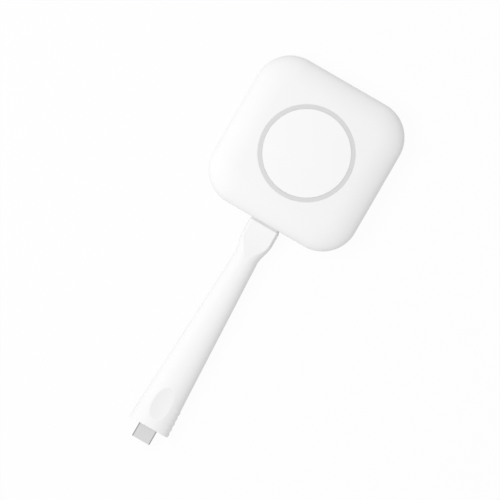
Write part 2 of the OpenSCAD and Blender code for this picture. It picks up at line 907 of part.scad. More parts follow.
// Height of the side ribs at that distance: a wave over the ribbed stretch
rib_last = tail_len - rib_first_back;
rib_first = rib_last - (rib_count - 1) * rib_pitch;
rib_from = rib_first - rib_pitch / 2;
rib_to = rib_last + rib_pitch / 2;
function rib_wave(s) = s < rib_from || s > rib_to ? 0
    : rib_h * (1 + cos(360 * (s - rib_first) / rib_pitch)) / 2;

function power_curve(v, n) = sign(v) * pow(abs(v), 2 / n);
function sleeve_point(s, shrink, a) = let (
    n = tail_power(s),
    side = tail_side(s),
    rib = rib_wave(s) * ease((abs(cos(a)) - rib_side_share) / rib_fade_share),
    x = sign(cos(a)) * (tail_half_w(s) - side + rib) + (side - shrink) * power_curve(cos(a), n),
    z = (tail_half_t(s) - shrink) * power_curve(sin(a), n))
    [x, -(half + s), tail_axis_h + z];

// Distances from the puck at which the sleeve has a ring, with what the ends are drawn in
sleeve_stations = concat(
    [[root_gap, sleeve_edge]],
    [for (i = [0 : collar_rings - 1])
        [blend(root_gap + sleeve_edge, taper_start, i / collar_rings), 0]],
    [for (i = [0 : taper_rings - 1])
        [blend(taper_start, swell_end, i / taper_rings), 0]],
    [for (i = [0 : plain_rings - 1])
        [blend(swell_end, rib_from, i / plain_rings), 0]],
    [for (i = [0 : rings_per_rib * rib_count]) let (s = rib_from + i * rib_pitch / rings_per_rib)
        if (s < tail_len - sleeve_edge - over * sleeve_edge) [s, 0]],
    [[tail_len - sleeve_edge, 0], [tail_len, sleeve_edge]]);

module sleeve_form() {
    sides = sleeve_sides;
    last = len(sleeve_stations) - 1;
    points = [for (station = sleeve_stations, i = [0 : sides - 1])
        sleeve_point(station[0], station[1], 360 * i / sides)];
    walls = [for (j = [0 : last - 1], i = [0 : sides - 1]) let (k = (i + 1) % sides) each [
        [j * sides + i, (j + 1) * sides + i, j * sides + k],
        [j * sides + k, (j + 1) * sides + i, (j + 1) * sides + k]]];
    polyhedron(points, concat(walls, [[for (i = [0 : sides - 1]) i]],
        [[for (i = [sides - 1 : -1 : 0]) last * sides + i]]), convexity = 6);
}

// Barrel that dishes the top of the tail for a thumb
module thumb_barrel() {
    s = tail_len - recess_back;
    top = tail_axis_h + tail_half_t(s);
    steps = 12;
    translate([0, -(half + s), top - recess_depth + recess_long_r])
        rotate([0, 90, 0])
            rotate_extrude($fn = ring_fn) polygon(concat(
                [[0, -recess_w / 2]],
                [for (i = [0 : steps]) let (x = recess_w * (i / steps - 1 / 2))
                    [recess_long_r - x * x / (2 * recess_cross_r), x]],
                [[0, recess_w / 2]]));
}

module tail_sleeve() color(soft_white) {
    difference() {
        sleeve_form();
        thumb_barrel();
        tail_bar(root_gap - over, root_gap + spigot_len) rounded(spigot_w, spigot_t, spigot_round);
        tail_bar(root_gap, tail_len - core_len + over) circle(cable_d / 2 + cable_fit);
        tail_bar(tail_len - core_len, tail_len - sleeve_end_wall)
            rounded(core_w, core_t, core_round);
        tail_bar(tail_len - sleeve_end_wall - over, tail_len + over)
            stadium(plug_w + 2 * cable_fit, plug_t + 2 * cable_fit);
    }
}

module crimp_ferrule() color(steel) {
    tail_bar(tail_len - core_len + touch_gap, tail_len - core_len + ferrule_len - touch_gap)
        difference() {
            circle(cable_d / 2 + cable_fit + ferrule_t);
            circle(cable_d / 2 + cable_fit);
        }
}

// Distances of the pieces in the plug end from the puck's edge
can_to = tail_len - core_front;
can_from = tail_len - core_len + can_back_in;
shell_from = tail_len - shell_in;
insulator_from = shell_from + touch_gap;
paddle_from = tail_len - core_len + ferrule_len + paddle_gap;
plug_tip = tail_len + plug_out;

module plug_core() color([0.9, 0.9, 0.88]) {
    difference() {
        tail_bar(tail_len - core_len + touch_gap, tail_len - sleeve_end_wall - touch_gap)
            rounded(core_w - 2 * touch_gap, core_t - 2 * touch_gap, core_round);
        tail_bar(tail_len - core_len - over, can_from + over)
            circle(cable_d / 2 + cable_fit + ferrule_t + touch_gap);
        tail_bar(can_from - touch_gap, can_to + touch_gap)
            rounded(can_back_w + 2 * touch_gap, can_back_t + 2 * touch_gap, can_back_round);
        tail_bar(can_to - over, tail_len)
            stadium(plug_w + 2 * cable_fit, plug_t + 2 * cable_fit);
    }
}

module plug_back_can() color(steel) {
    difference() {
        tail_bar(can_from, can_to) rounded(can_back_w, can_back_t, can_back_round);
        tail_bar(can_from + can_back_sheet, can_to - can_back_sheet)
            rounded(can_back_w - 2 * can_back_sheet, can_back_t - 2 * can_back_sheet,
                can_back_round - can_back_sheet);
        tail_bar(can_to - over, can_to + over)
            stadium(plug_w + 2 * cable_fit, plug_t + 2 * cable_fit);
        tail_bar(can_from - over, can_from + over)
            circle(cable_d / 2 + cable_fit + ferrule_t + touch_gap);
    }
}

module paddle_board() color(green) {
    tail_bar(paddle_from, insulator_from - touch_gap)
        square([paddle_w, paddle_t], center = true);
    tail_bar(insulator_from - paddle_bite, insulator_from + paddle_bite)
        square([tongue_slot_w - 2 * latch_t - 2 * touch_gap, paddle_t], center = true);
}

module plug_shell() color(steel) {
    difference() {
        tail_bar(shell_from, plug_tip) stadium(plug_w, plug_t);
        tail_bar(shell_from - over, plug_tip - shell_lip)
            stadium(plug_w - 2 * plug_sheet, plug_t - 2 * plug_sheet);
        tail_bar(plug_tip - over, plug_tip + over)
            stadium(plug_w - 2 * plug_sheet - 2 * shell_lip, plug_t - 2 * plug_sheet - 2 * shell_lip);
    }
}

module plug_insulator() color(black) {
    w = plug_w - 2 * plug_sheet - 2 * touch_gap;
    t = plug_t - 2 * plug_sheet - 2 * touch_gap;
    tail_bar(insulator_from, plug_tip - tongue_sink)
        difference() {
            stadium(w, t);
            square([tongue_slot_w, tongue_slot_t], center = true);
        }
}

module contact_row(side) {
    for (i = [0 : contact_count - 1])
        translate([(i - (contact_count - 1) / 2) * contact_pitch, 0,
                side * (tongue_slot_t - contact_t) / 2])
            tail_bar(insulator_from - contact_back, plug_tip - contact_sink)
                square([contact_w, contact_t], center = true);
}

module plug_contacts_top() color(gold) {
    contact_row(1);
}

module plug_contacts_bottom() color(gold) {
    contact_row(-1);
}

module plug_latches() color(steel) {
    for (side = [-1, 1]) {
        translate([side * (tongue_slot_w - latch_t) / 2, 0, 0])
            tail_bar(insulator_from + paddle_bite + touch_gap, plug_tip - latch_sink)
                square([latch_t, latch_h], center = true);
        translate([side * (tongue_slot_w / 2 - (latch_t + latch_hook) / 2), 0, 0])
            tail_bar(plug_tip - latch_sink - latch_hook_len, plug_tip - latch_sink)
                square([latch_t + latch_hook, latch_h], center = true);
    }
}

top_shell();
bottom_shell();
base_pad();
case_screws();
light_ring();
button_cap();
button_springs();
button_frame();
frame_screws();
switch_body();
switch_contacts();
switch_stem();
nfc_ferrite();
nfc_antenna();
main_board();
status_leds();
processor();
memory_chips();
flash_chip();
crystal();
power_inductors();
capacitors();
soc_shield_frame();
soc_shield_lid();
thermal_pads();
heat_spreader();
wifi_module();
wifi_shield();
antenna_left();
antenna_right();
lead_socket();
lead_plug();
lead_wires();
tail_anchor();
tail_cable();
tail_sleeve();
crimp_ferrule();
plug_core();
plug_back_can();
paddle_board();
plug_shell();
plug_insulator();
plug_contacts_top();
plug_contacts_bottom();
plug_latches();
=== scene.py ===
import math

import bmesh
import bpy
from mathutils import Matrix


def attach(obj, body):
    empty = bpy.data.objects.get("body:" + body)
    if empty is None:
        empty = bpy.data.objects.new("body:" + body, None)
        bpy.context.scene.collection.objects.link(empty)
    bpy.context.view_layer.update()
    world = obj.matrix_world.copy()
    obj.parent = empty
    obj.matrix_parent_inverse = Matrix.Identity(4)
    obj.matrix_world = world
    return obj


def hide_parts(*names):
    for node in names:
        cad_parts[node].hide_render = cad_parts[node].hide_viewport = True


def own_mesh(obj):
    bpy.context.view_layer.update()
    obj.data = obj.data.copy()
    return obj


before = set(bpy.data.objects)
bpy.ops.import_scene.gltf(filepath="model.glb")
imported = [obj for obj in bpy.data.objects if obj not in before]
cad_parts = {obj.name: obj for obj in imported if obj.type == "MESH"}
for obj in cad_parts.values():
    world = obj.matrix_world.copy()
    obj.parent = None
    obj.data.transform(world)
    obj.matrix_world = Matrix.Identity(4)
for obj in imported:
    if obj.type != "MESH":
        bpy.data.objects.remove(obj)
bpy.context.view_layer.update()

# Lower case
# A shallow tray of white ABS whose soft rim curls under to a flat seat for the foot pad.
# It is injection moulded with a fine spark-eroded grain, and its posts, bosses and half of the
# tail's clamp are moulded in one piece with it.
mm = 0.001
puck_half = 34 * mm
corner_radius = 15.5 * mm
wall = 1.8 * mm
lap = 0.56 * wall
lower_rim = (6.5 * mm, 7 * mm, 5.9 * mm)
tail_height = 5.8 * mm
post_at, post_radius = 22.5 * mm, 2.9 * mm
boss_at, boss_radius = 11.667 * mm, 2.4 * mm
post_places = [(x * post_at, y * post_at) for x in (-1, 1) for y in (-1, 1)]
boss_places = [(x * boss_at, y * boss_at) for x in (-1, 1) for y in (-1, 1)]
pad_half, pad_round, pad_gap = 26.5 * mm, 8 * mm, 0.15 * mm


def begin():
    if bpy.context.mode != "OBJECT":
        bpy.ops.object.mode_set(mode="OBJECT")
    bpy.ops.object.select_all(action="DESELECT")


def take(piece):
    """Makes a piece the only one selected."""
    begin()
    piece.select_set(True)
    bpy.context.view_layer.objects.active = piece
    return piece


def placed(name):
    """Names the new piece and puts its place into its mesh."""
    piece = bpy.context.object
    piece.name = piece.data.name = name
    bpy.ops.object.transform_apply(location=True, rotation=True, scale=True)
    return piece


def pick(kind, test):
    """Selects faces by middle and normal, edges by their two ends, or points by place."""
    bpy.ops.mesh.select_mode(type=kind)
    bpy.ops.mesh.select_all(action="DESELECT")
    mesh = bpy.context.object.data
    form = bmesh.from_edit_mesh(mesh)
    if kind == "FACE":
        found = [f for f in form.faces if test(f.calc_center_median(), f.normal)]
    elif kind == "EDGE":
        found = [e for e in form.edges if test(e.verts[0].co, e.verts[1].co)]
    else:
        found = [v for v in form.verts if test(v.co)]
    for part in found:
        part.select_set(True)
    form.select_flush_mode()
    bmesh.update_edit_mesh(mesh)


def rounded_block(name, low, high, radius, along=2, segments=16):
    """Block between two corners, with the edges along one axis rounded."""
    size = [b - a for a, b in zip(low, high)]
    begin()
    bpy.ops.mesh.primitive_cube_add(size=1, scale=size,
                                    location=[(a + b) / 2 for a, b in zip(low, high)])
    piece = placed(name)
    bpy.ops.object.mode_set(mode="EDIT")
    pick("EDGE", lambda a, b: abs(a[along] - b[along]) > size[along] / 2)
    bpy.ops.mesh.bevel(offset=radius, segments=segments, affect="EDGES")
    bpy.ops.mesh.select_all(action="SELECT")
    bpy.ops.mesh.remove_doubles(threshold=1e-7)
    bpy.ops.object.mode_set(mode="OBJECT")
    return piece


def rounded_square(name, side, low, high, radius):
    return rounded_block(name, (-side, -side, low), (side, side, high), radius, 2, 24)


def round_pegs(name, places, low, high, radius, sides=48):
    """Round posts, or cutters for bores, at several places."""
    begin()
    bpy.ops.mesh.primitive_cylinder_add(vertices=sides, radius=radius, depth=high - low,
                                        location=(*places[0], (low + high) / 2))
    pegs = placed(name)
    bpy.ops.object.mode_set(mode="EDIT")
    bpy.ops.mesh.select_all(action="SELECT")
    for here, there in zip(places, places[1:]):
        bpy.ops.mesh.duplicate()
        bpy.ops.transform.translate(value=(there[0] - here[0], there[1] - here[1], 0))
    bpy.ops.object.mode_set(mode="OBJECT")
    return pegs


def case_form(name, inset, open_z, rim):
    """Half of the puck, or its inside: a rounded square that closes over a soft rim."""
    wall_z, run, drop = rim
    up = 1 if wall_z > open_z else -1
    low, high = sorted((open_z, wall_z))
    side = puck_half - inset
    piece = rounded_square(name, side, low, high, corner_radius - inset)
    bpy.ops.object.mode_set(mode="EDIT")
    if inset == 0:
        pick("EDGE", lambda a, b: abs(a.z - open_z) < 1e-6 and abs(b.z - open_z) < 1e-6)
        bpy.ops.mesh.bevel(offset=0.12 * mm, segments=3, affect="EDGES")
    pick("FACE", lambda middle, normal: normal.z * up > 0.9)
    steps = 22
    for step in range(steps):
        a, b = [math.radians(90 * (step + i) / steps) for i in (0, 1)]
        bpy.ops.mesh.inset(thickness=(run - inset) * (math.cos(a) - math.cos(b)),
                           depth=(drop - inset) * (math.sin(b) - math.sin(a)))
    bpy.ops.object.mode_set(mode="OBJECT")
    return piece


def worked(piece, tool, operation="DIFFERENCE"):
    """Cuts a tool out of a piece, or welds it on, and uses the tool up."""
    take(piece)
    change = piece.modifiers.new("work", "BOOLEAN")
    change.operation, change.object, change.solver = operation, tool, "EXACT"
    bpy.ops.object.modifier_apply(modifier=change.name)
    bpy.data.objects.remove(tool)
    return piece


def smoothed(piece, angle=32):
    """Merges what cuts left doubled, then shades smooth up to an angle and keeps flats flat."""
    take(piece)
    bpy.ops.object.mode_set(mode="EDIT")
    bpy.ops.mesh.select_all(action="SELECT")
    bpy.ops.mesh.remove_doubles(threshold=1e-6)
    bpy.ops.object.mode_set(mode="OBJECT")
    bpy.ops.object.shade_smooth_by_angle(angle=math.radians(angle))
    even = piece.modifiers.new("even", "WEIGHTED_NORMAL")
    even.keep_sharp = True
    bpy.ops.object.modifier_apply(modifier=even.name)
    return piece


class Level:
    """A number or colour that varies over a surface; arithmetic on it adds Math nodes."""

    def __init__(self, finish, socket):
        self.finish, self.socket = finish, socket

    def math(self, operation, first, second=0.0):
        return self.finish.add("ShaderNodeMath", {"operation": operation}, {0: first, 1: second})

    def __add__(self, other):
        return self.math("ADD", self, other)

    def __sub__(self, other):
        return self.math("SUBTRACT", self, other)

    def __rsub__(self, other):
        return self.math("SUBTRACT", other, self)

    def __mul__(self, other):
        return self.math("MULTIPLY", self, other)

    def __truediv__(self, other):
        return self.math("DIVIDE", self, other)

    def __gt__(self, other):
        return self.math("GREATER_THAN", self, other)

    def __lt__(self, other):
        return self.math("LESS_THAN", self, other)

    def __abs__(self):
        return self.math("ABSOLUTE", self)

    def to_and_fro(self, reach):
        """Rises from 0 to this reach and falls back, over and over."""
        return self.math("PINGPONG", self, reach)

    __radd__, __rmul__ = __add__, __mul__


class Finish:
    """One surface finish: its shader, and the pattern nodes that feed it."""

    def __init__(self, name, **constants):
        self.material = bpy.data.materials.new(name)
        self.material.use_nodes = True
        self.tree = self.material.node_tree
        self.shader = self.tree.nodes["Principled BSDF"]
        self.place = self.add("ShaderNodeTexCoord", out="Object")
        for socket, value in constants.items():
            self.shader.inputs[socket.replace("_", " ")].default_value = value

    def add(self, kind, settings=None, values=None, out=0):
        node = self.tree.nodes.new(kind)
        for key, value in (settings or {}).items():
            setattr(node, key, value)
        for key, value in (values or {}).items():
            if isinstance(value, Level):
                self.tree.links.new(value.socket, node.inputs[key])
            else:
                node.inputs[key].default_value = value
        return Level(self, node.outputs[out])

    def noise(self, size, detail=2.0, roughness=0.5, at=None):
        """Soft noise whose lumps are about this size in metres."""
        return self.add("ShaderNodeTexNoise", None, {
            "Vector": at or self.place, "Scale": 1 / size, "Detail": detail,
            "Roughness": roughness})

    def stretched(self, x, y, z):
        return self.add("ShaderNodeMapping", None, {"Vector": self.place, "Scale": (x, y, z)})

    def axis(self, name):
        return self.add("ShaderNodeSeparateXYZ", None, {"Vector": self.place}, name)

    def mix(self, first, second, share):
        first, second = [c if isinstance(c, Level) else (*c, 1.0) for c in (first, second)]
        return self.add("ShaderNodeMix", {"data_type": "RGBA"}, {0: share, 6: first, 7: second}, 2)

    def feed(self, socket, value):
        self.tree.links.new(value.socket, self.shader.inputs[socket])

    def relief(self, height, depth):
        """Feeds the shader a bumpy normal, with its depth in metres."""
        self.feed("Normal", self.add("ShaderNodeBump", None, {
            "Strength": 1.0, "Distance": depth, "Height": height}))


def moulded(name, pale, deep, roughness, grain, depth, **constants):
    """Moulded plastic: an eroded grain, and a slow drift of colour and gloss."""
    finish = Finish(name, **constants)
    drift = finish.noise(14 * mm)
    texture = finish.noise(grain, 3.0, 0.6)
    finish.feed("Base Color", finish.mix(deep, pale, drift))
    finish.feed("Roughness", roughness + (drift - 0.5) * 0.1 + (texture - 0.5) * 0.08)
    finish.relief(texture, depth)
    return finish


def fitted(piece, finish, body, slot, *nodes):
    """Gives a finished piece its finish and its body, and hides the nodes that it stands for; the
    slot is not used.
    """
    piece.data.materials.clear()
    piece.data.materials.append(finish.material)
    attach(piece, body)
    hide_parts(*nodes)
    return piece


def dressed(finish, *nodes):
    """Gives CAD nodes a finish."""
    for node in nodes:
        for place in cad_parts[node].material_slots:
            place.material = finish.material


def clamp_half(low, high, open_z, rim):
    """Half of the block that clamps the tail's anchor, trimmed to lie inside the wall."""
    block = rounded_block("clamp", (-9.6 * mm, -31.8 * mm, low), (9.6 * mm, -24 * mm, high),
                          0.4 * mm, 2, 3)
    return worked(block, case_form("trim", wall / 2, open_z, rim), "INTERSECT")


def anchor_bed(piece):
    """Cuts the bed that the tail's anchor and its flange lie in."""
    worked(piece, rounded_block("bed", (-6.75 * mm, -35 * mm, 3.15 * mm),
                                (6.75 * mm, -23 * mm, 8.45 * mm), 1.5 * mm, 1, 8))
    return worked(piece, rounded_block("bed", (-8.1 * mm, -26.5 * mm, 2.5 * mm),
                                       (8.1 * mm, -24.9 * mm, 9.1 * mm), 0.2 * mm, 1, 2))


case_white = moulded("case_white", (0.9, 0.9, 0.9), (0.885, 0.885, 0.885), 0.42, 0.22 * mm,
                     0.004 * mm)

lower = case_form("lower_case", 0, 7 * mm, lower_rim)
worked(lower, rounded_square("lip", puck_half - lap, 5.9 * mm, 8.3 * mm, corner_radius - lap),
       "UNION")
worked(lower, case_form("hollow", wall, 9.5 * mm, lower_rim))
worked(lower, round_pegs("posts", post_places, 1 * mm, 6.9 * mm, post_radius), "UNION")
worked(lower, round_pegs("bosses", boss_places, 1.6 * mm, 5.9 * mm, boss_radius), "UNION")
worked(lower, clamp_half(1.5 * mm, tail_height, 8 * mm, lower_rim), "UNION")
seat = pad_half + pad_gap
worked(lower, rounded_block("seat", (-seat, -seat, -0.4 * mm), (seat, seat, 1.2 * mm),
                            pad_round + pad_gap))
worked(lower, round_pegs("screw_ways", post_places, 0, 8 * mm, 1.15 * mm))
worked(lower, round_pegs("head_wells", post_places, 0, 2.4 * mm, 1.95 * mm))
worked(lower, round_pegs("boss_bores", boss_places, 3.2 * mm, 8 * mm, 0.9 * mm))
anchor_bed(lower)
fitted(smoothed(lower), case_white, "housing", "shell_white", "bottom_shell")

# Heat path under the board
# A rolled aluminium plate lies on the floor of the case, and a grey silicone gap pad joins it
# to the shield can and the processor.


def worked_metal(name, shade, dark, roughness, streak, depth):
    """Rolled, drawn or stamped metal: fine streaks along one axis, and faint stains."""
    finish = Finish(name, Metallic=1.0)
    lines = finish.noise(1.0, 3.0, 0.55, finish.stretched(*streak))
    stain = finish.noise(4 * mm, 3.0)
    finish.feed("Base Color", finish.mix(dark, shade, lines * 0.5 + stain * 0.5))
    finish.feed("Roughness", roughness + (lines - 0.5) * 0.16 + (stain - 0.5) * 0.1)
    finish.relief(lines, depth)
    return finish


dressed(worked_metal("rolled_aluminium", (0.82, 0.83, 0.84), (0.66, 0.67, 0.68), 0.36,
                     (150, 5200, 150), 0.003 * mm), "heat_spreader")
dressed(moulded("gap_pad", (0.46, 0.5, 0.55), (0.36, 0.4, 0.46), 0.7, 0.12 * mm, 0.012 * mm),
        "thermal_pads")

# Main board and the chips under it
# A green four-layer board with fine traces and gilt vias under its mask. The chips are black
# epoxy, the crystal has a steel lid, and the coils and capacitors are fired ceramic.


def masked_board(name, mask, copper):
    """Solder mask over copper: traces at a fixed pitch in patches, and a scatter of vias."""
    finish = Finish(name)
    x, y = finish.axis("X"), finish.axis("Y")
    patch = finish.noise(5 * mm, 1.0) > 0.52
    along_x = x.to_and_fro(0.35 * mm) < 0.11 * mm
    along_y = y.to_and_fro(0.4 * mm) < 0.12 * mm
    trace = along_x * patch + along_y * (1 - patch)
    dots = finish.add("ShaderNodeTexVoronoi", {"feature": "F1"}, {
        "Vector": finish.place, "Scale": 1 / (1.9 * mm), "Randomness": 0.75}, "Distance")
    via = dots < 0.13
    weave = finish.noise(0.4 * mm)
    finish.feed("Base Color", finish.mix(
        finish.mix(mask, tuple(1.7 * c for c in mask), trace * 0.6 + weave * 0.25), copper, via))
    finish.feed("Metallic", via * 0.9)
    finish.feed("Roughness", 0.32 + weave * 0.12 - via * 0.08)
    finish.relief(trace * (1 - via), 0.02 * mm)
    return finish


board_green = masked_board("board_green", (0.022, 0.13, 0.07), (0.78, 0.58, 0.26))
dressed(board_green, "main_board", "wifi_module", "paddle_board")
dressed(moulded("chip_epoxy", (0.035, 0.035, 0.038), (0.022, 0.022, 0.024), 0.5, 0.09 * mm,
                0.006 * mm), "processor", "memory_chips", "flash_chip")
dressed(worked_metal("crystal_lid", (0.78, 0.78, 0.76), (0.6, 0.6, 0.58), 0.3, (4000, 260, 260),
                     0.002 * mm), "crystal")
dressed(moulded("coil_ferrite", (0.16, 0.16, 0.165), (0.1, 0.1, 0.104), 0.62, 0.15 * mm,
                0.02 * mm), "power_inductors")

chip_cap = Finish("capacitor_body")
cap_pitch, cap_row, cap_body = 2.6 * mm, 17.5 * mm, 0.52 * mm
from_middle = (abs(chip_cap.axis("X")) - (cap_row - 3 * cap_pitch)).to_and_fro(cap_pitch / 2)
end_metal = from_middle > cap_body
fired = chip_cap.noise(0.3 * mm, 3.0)
chip_cap.feed("Base Color", chip_cap.mix(
    chip_cap.mix((0.5, 0.36, 0.2), (0.62, 0.47, 0.29), fired), (0.74, 0.74, 0.72), end_metal))
chip_cap.feed("Metallic", end_metal * 0.9)
chip_cap.feed("Roughness", 0.5 - end_metal * 0.16 + fired * 0.06)
chip_cap.relief(fired, 0.006 * mm)
dressed(chip_cap, "capacitors")

# Shield cans
# Stamped from nickel-silver sheet: a frame soldered round the processor with a snap-on lid, and
# a smaller drawn can over the radio chip.
can_sheet = worked_metal("can_sheet", (0.74, 0.73, 0.7), (0.58, 0.57, 0.54), 0.38,
                         (180, 180, 4200), 0.002 * mm)
dressed(can_sheet, "soc_shield_frame", "soc_shield_lid", "wifi_shield")

# Aerials
# Two bent strips of gilt phosphor bronze that stand on the edges of the board.
dressed(worked_metal("gilt_strip", (0.9, 0.7, 0.34), (0.76, 0.56, 0.24), 0.3, (220, 4600, 220),
                     0.002 * mm), "antenna_left", "antenna_right")

# Lamps and switch
# Twelve small lamps with a yellow phosphor window are soldered in a circle under the light ring.
# The tact switch has a black body, gilt leads with a snap disc, and a cream stem.
dressed(moulded("lamp_phosphor", (0.93, 0.86, 0.42), (0.85, 0.74, 0.3), 0.4, 0.08 * mm,
                0.004 * mm), "status_leds")
dressed(moulded("switch_black", (0.04, 0.04, 0.042), (0.026, 0.026, 0.028), 0.45, 0.1 * mm,
                0.005 * mm), "switch_body")
dressed(worked_metal("gilt_leads", (0.88, 0.72, 0.4), (0.72, 0.56, 0.28), 0.32, (5000, 300, 300),
                     0.002 * mm), "switch_contacts")
dressed(moulded("stem_cream", (0.78, 0.74, 0.62), (0.7, 0.66, 0.54), 0.4, 0.1 * mm, 0.004 * mm),
        "switch_stem")

# Frame under the button, with the contactless aerial
# A white reflector plate stands on four legs over the board. A black ferrite sheet lies on it
# round the switch, with a copper spiral on amber film on top.
dressed(moulded("reflector_white", (0.88, 0.88, 0.86), (0.84, 0.84, 0.82), 0.36, 0.2 * mm,
                0.004 * mm), "button_frame")
dressed(moulded("ferrite_sheet", (0.05, 0.05, 0.053), (0.03, 0.03, 0.032), 0.7, 0.07 * mm,
                0.008 * mm), "nfc_ferrite")

film = Finish("spiral_film")
raised = film.axis("Z") > 9.63 * mm
crackle = film.noise(0.5 * mm, 3.0)
film.feed("Base Color", film.mix(film.mix((0.42, 0.19, 0.03), (0.52, 0.26, 0.05), crackle),
                                 film.mix((0.78, 0.4, 0.22), (0.9, 0.5, 0.3), crackle), raised))
film.feed("Metallic", raised * 0.95)
film.feed("Roughness", 0.34 + crackle * 0.12)
film.relief(crackle, 0.004 * mm)
dressed(film, "nfc_antenna")

# Screws
# Zinc-plated steel, cold headed with rolled shanks: four up through the case, which the foot
# pad hides, and four down through the frame.
plated = Finish("plated_steel", Metallic=1.0)
turned = plated.add("ShaderNodeTexWave", {"bands_direction": "Z"}, {
    "Vector": plated.place, "Scale": 1 / (2.2 * mm), "Distortion": 0.6})
haze = plated.noise(0.5 * mm, 3.0)
plated.feed("Base Color", plated.mix((0.56, 0.57, 0.6), (0.74, 0.75, 0.76), haze))
plated.feed("Roughness", 0.26 + haze * 0.16)
plated.relief(turned * 0.7 + haze * 0.3, 0.012 * mm)
dressed(plated, "case_screws", "frame_screws")

# Light ring
# A diffuser moulded in milky polycarbonate: the grey band that shows round the button, a flange
# that the upper case holds down, and a skirt that gathers the lamps' light.


def arc(x, z, radius, start, end, count):
    """Points on an arc in a profile."""
    angles = [math.radians(start + (end - start) * i / count) for i in range(count + 1)]
    return [(x + radius * math.cos(a), z + radius * math.sin(a)) for a in angles]


def turned_piece(name, profile, steps=192):
    """Revolves a profile, given in millimetres from the middle, round the upright axis."""
    begin()
    bpy.ops.mesh.primitive_plane_add(size=mm)
    piece = placed(name)
    bpy.ops.object.mode_set(mode="EDIT")
    bpy.ops.mesh.select_mode(type="VERT")
    bpy.ops.mesh.merge(type="CENTER")
    bpy.ops.transform.translate(value=(profile[0][0] * mm, 0, profile[0][1] * mm))
    for a, b in zip(profile, profile[1:]):
        bpy.ops.mesh.extrude_vertices_move(TRANSFORM_OT_translate={
            "value": ((b[0] - a[0]) * mm, 0, (b[1] - a[1]) * mm)})
    bpy.ops.mesh.select_all(action="SELECT")
    bpy.ops.mesh.remove_doubles(threshold=1e-7)
    bpy.ops.mesh.spin(steps=steps, angle=2 * math.pi, center=(0, 0, 0), axis=(0, 0, 1))
    bpy.ops.mesh.select_all(action="SELECT")
    bpy.ops.mesh.remove_doubles(threshold=1e-7)
    bpy.ops.mesh.normals_make_consistent(inside=False)
    bpy.ops.object.mode_set(mode="OBJECT")
    return piece


band_in, band_out, band_top, band_edge = 18.54, 20.4, 14.4, 0.06
skirt_in, flange_out = 20.6, 22
ring_profile = ([(band_in, 11.7), (skirt_in, 11.7), (skirt_in, 9.35), (flange_out, 9.35),
                 (flange_out, 12.65), (band_out, 12.65)]
                + arc(band_out - band_edge, band_top - band_edge, band_edge, 0, 90, 4)
                + arc(band_in + band_edge, band_top - band_edge, band_edge, 90, 180, 4)
                + [(band_in, 11.7)])
milky = Finish("milky_diffuser")
bloom = milky.noise(3 * mm)
speck = milky.noise(0.16 * mm, 3.0)
milky.feed("Base Color", milky.mix((0.665, 0.665, 0.665), (0.705, 0.705, 0.705),
                                   bloom * 0.6 + speck * 0.4))
milky.feed("Roughness", 0.34 + speck * 0.1)
milky.relief(speck, 0.004 * mm)
fitted(smoothed(turned_piece("light_band", ring_profile, 256)), milky, "housing", "ring_diffuser",
       "light_ring")

# Return springs
# Four coil springs of drawn steel wire hold the button up. Each sits in a seat in the frame and
# round a peg of the button.
spring_ring, spring_seat, spring_length, wire_radius = 12 * mm, 9 * mm, 3.9 * mm, 0.18 * mm
begin()
bpy.ops.mesh.primitive_circle_add(vertices=12, radius=wire_radius, fill_type="NOTHING",
                                  rotation=(math.radians(90), 0, 0),
                                  location=(1.42 * mm, 0, spring_seat + wire_radius))
springs = placed("return_springs")
coil = springs.modifiers.new("coil", "SCREW")
coil.axis, coil.angle, coil.iterations, coil.steps, coil.render_steps = "Z", 2 * math.pi, 4, 36, 36
coil.screw_offset = (spring_length - 2 * wire_radius) / coil.iterations
coil.use_merge_vertices = True
bpy.ops.object.modifier_apply(modifier=coil.name)
bpy.ops.object.mode_set(mode="EDIT")
bpy.ops.mesh.select_all(action="SELECT")
bpy.ops.mesh.fill_holes(sides=0)
bpy.ops.mesh.normals_make_consistent(inside=False)
bpy.ops.transform.translate(value=(spring_ring, 0, 0))
for quarter in range(3):
    bpy.ops.mesh.duplicate()
    bpy.ops.transform.rotate(value=math.radians(90), orient_axis="Z", center_override=(0, 0, 0))
bpy.ops.object.mode_set(mode="OBJECT")
drawn_wire = worked_metal("drawn_wire", (0.72, 0.73, 0.75), (0.5, 0.51, 0.53), 0.28,
                          (3000, 3000, 500), 0.002 * mm)
fitted(smoothed(springs, 60), drawn_wire, "housing", "spring_steel", "button_springs")
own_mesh(springs)

# Button
# A white disc with a soft edge, moulded with a skirt and a retaining lip. Ribs stiffen it from
# below, four pegs centre the springs, and the plunger in the middle presses the switch.
disc_radius, puck_top, fine_edge = band_in - 0.04, 14.5, 0.12
cap_profile = ([(0, 12.9), (17.2, 12.9), (17.2, 10.8), (19.5, 10.8), (19.5, 11.6),
                (disc_radius, 11.6)]
               + arc(disc_radius - fine_edge, puck_top - fine_edge, fine_edge, 0, 90, 6)
               + [(0, puck_top)])
button = turned_piece("button_disc", cap_profile, 256)
worked(button, round_pegs("plunger", [(0, 0)], 9.24 * mm, 13.3 * mm, 2.5 * mm), "UNION")
peg_places = [(spring_ring, 0), (0, spring_ring), (-spring_ring, 0), (0, -spring_ring)]
worked(button, round_pegs("pegs", peg_places, 11.5 * mm, 13.3 * mm, 0.85 * mm, 24), "UNION")
rib = rounded_block("rib", (-17.6 * mm, -0.4 * mm, 12 * mm), (17.6 * mm, 0.4 * mm, 13.3 * mm),
                    0.1 * mm, 0, 2)
for turn in (22.5, 67.5, 112.5, 157.5):
    take(rib)
    bpy.ops.object.duplicate()
    bpy.ops.object.mode_set(mode="EDIT")
    bpy.ops.mesh.select_all(action="SELECT")
    bpy.ops.transform.rotate(value=math.radians(turn), orient_axis="Z", center_override=(0, 0, 0))
    bpy.ops.object.mode_set(mode="OBJECT")
    worked(button, bpy.context.object, "UNION")
bpy.data.objects.remove(rib)
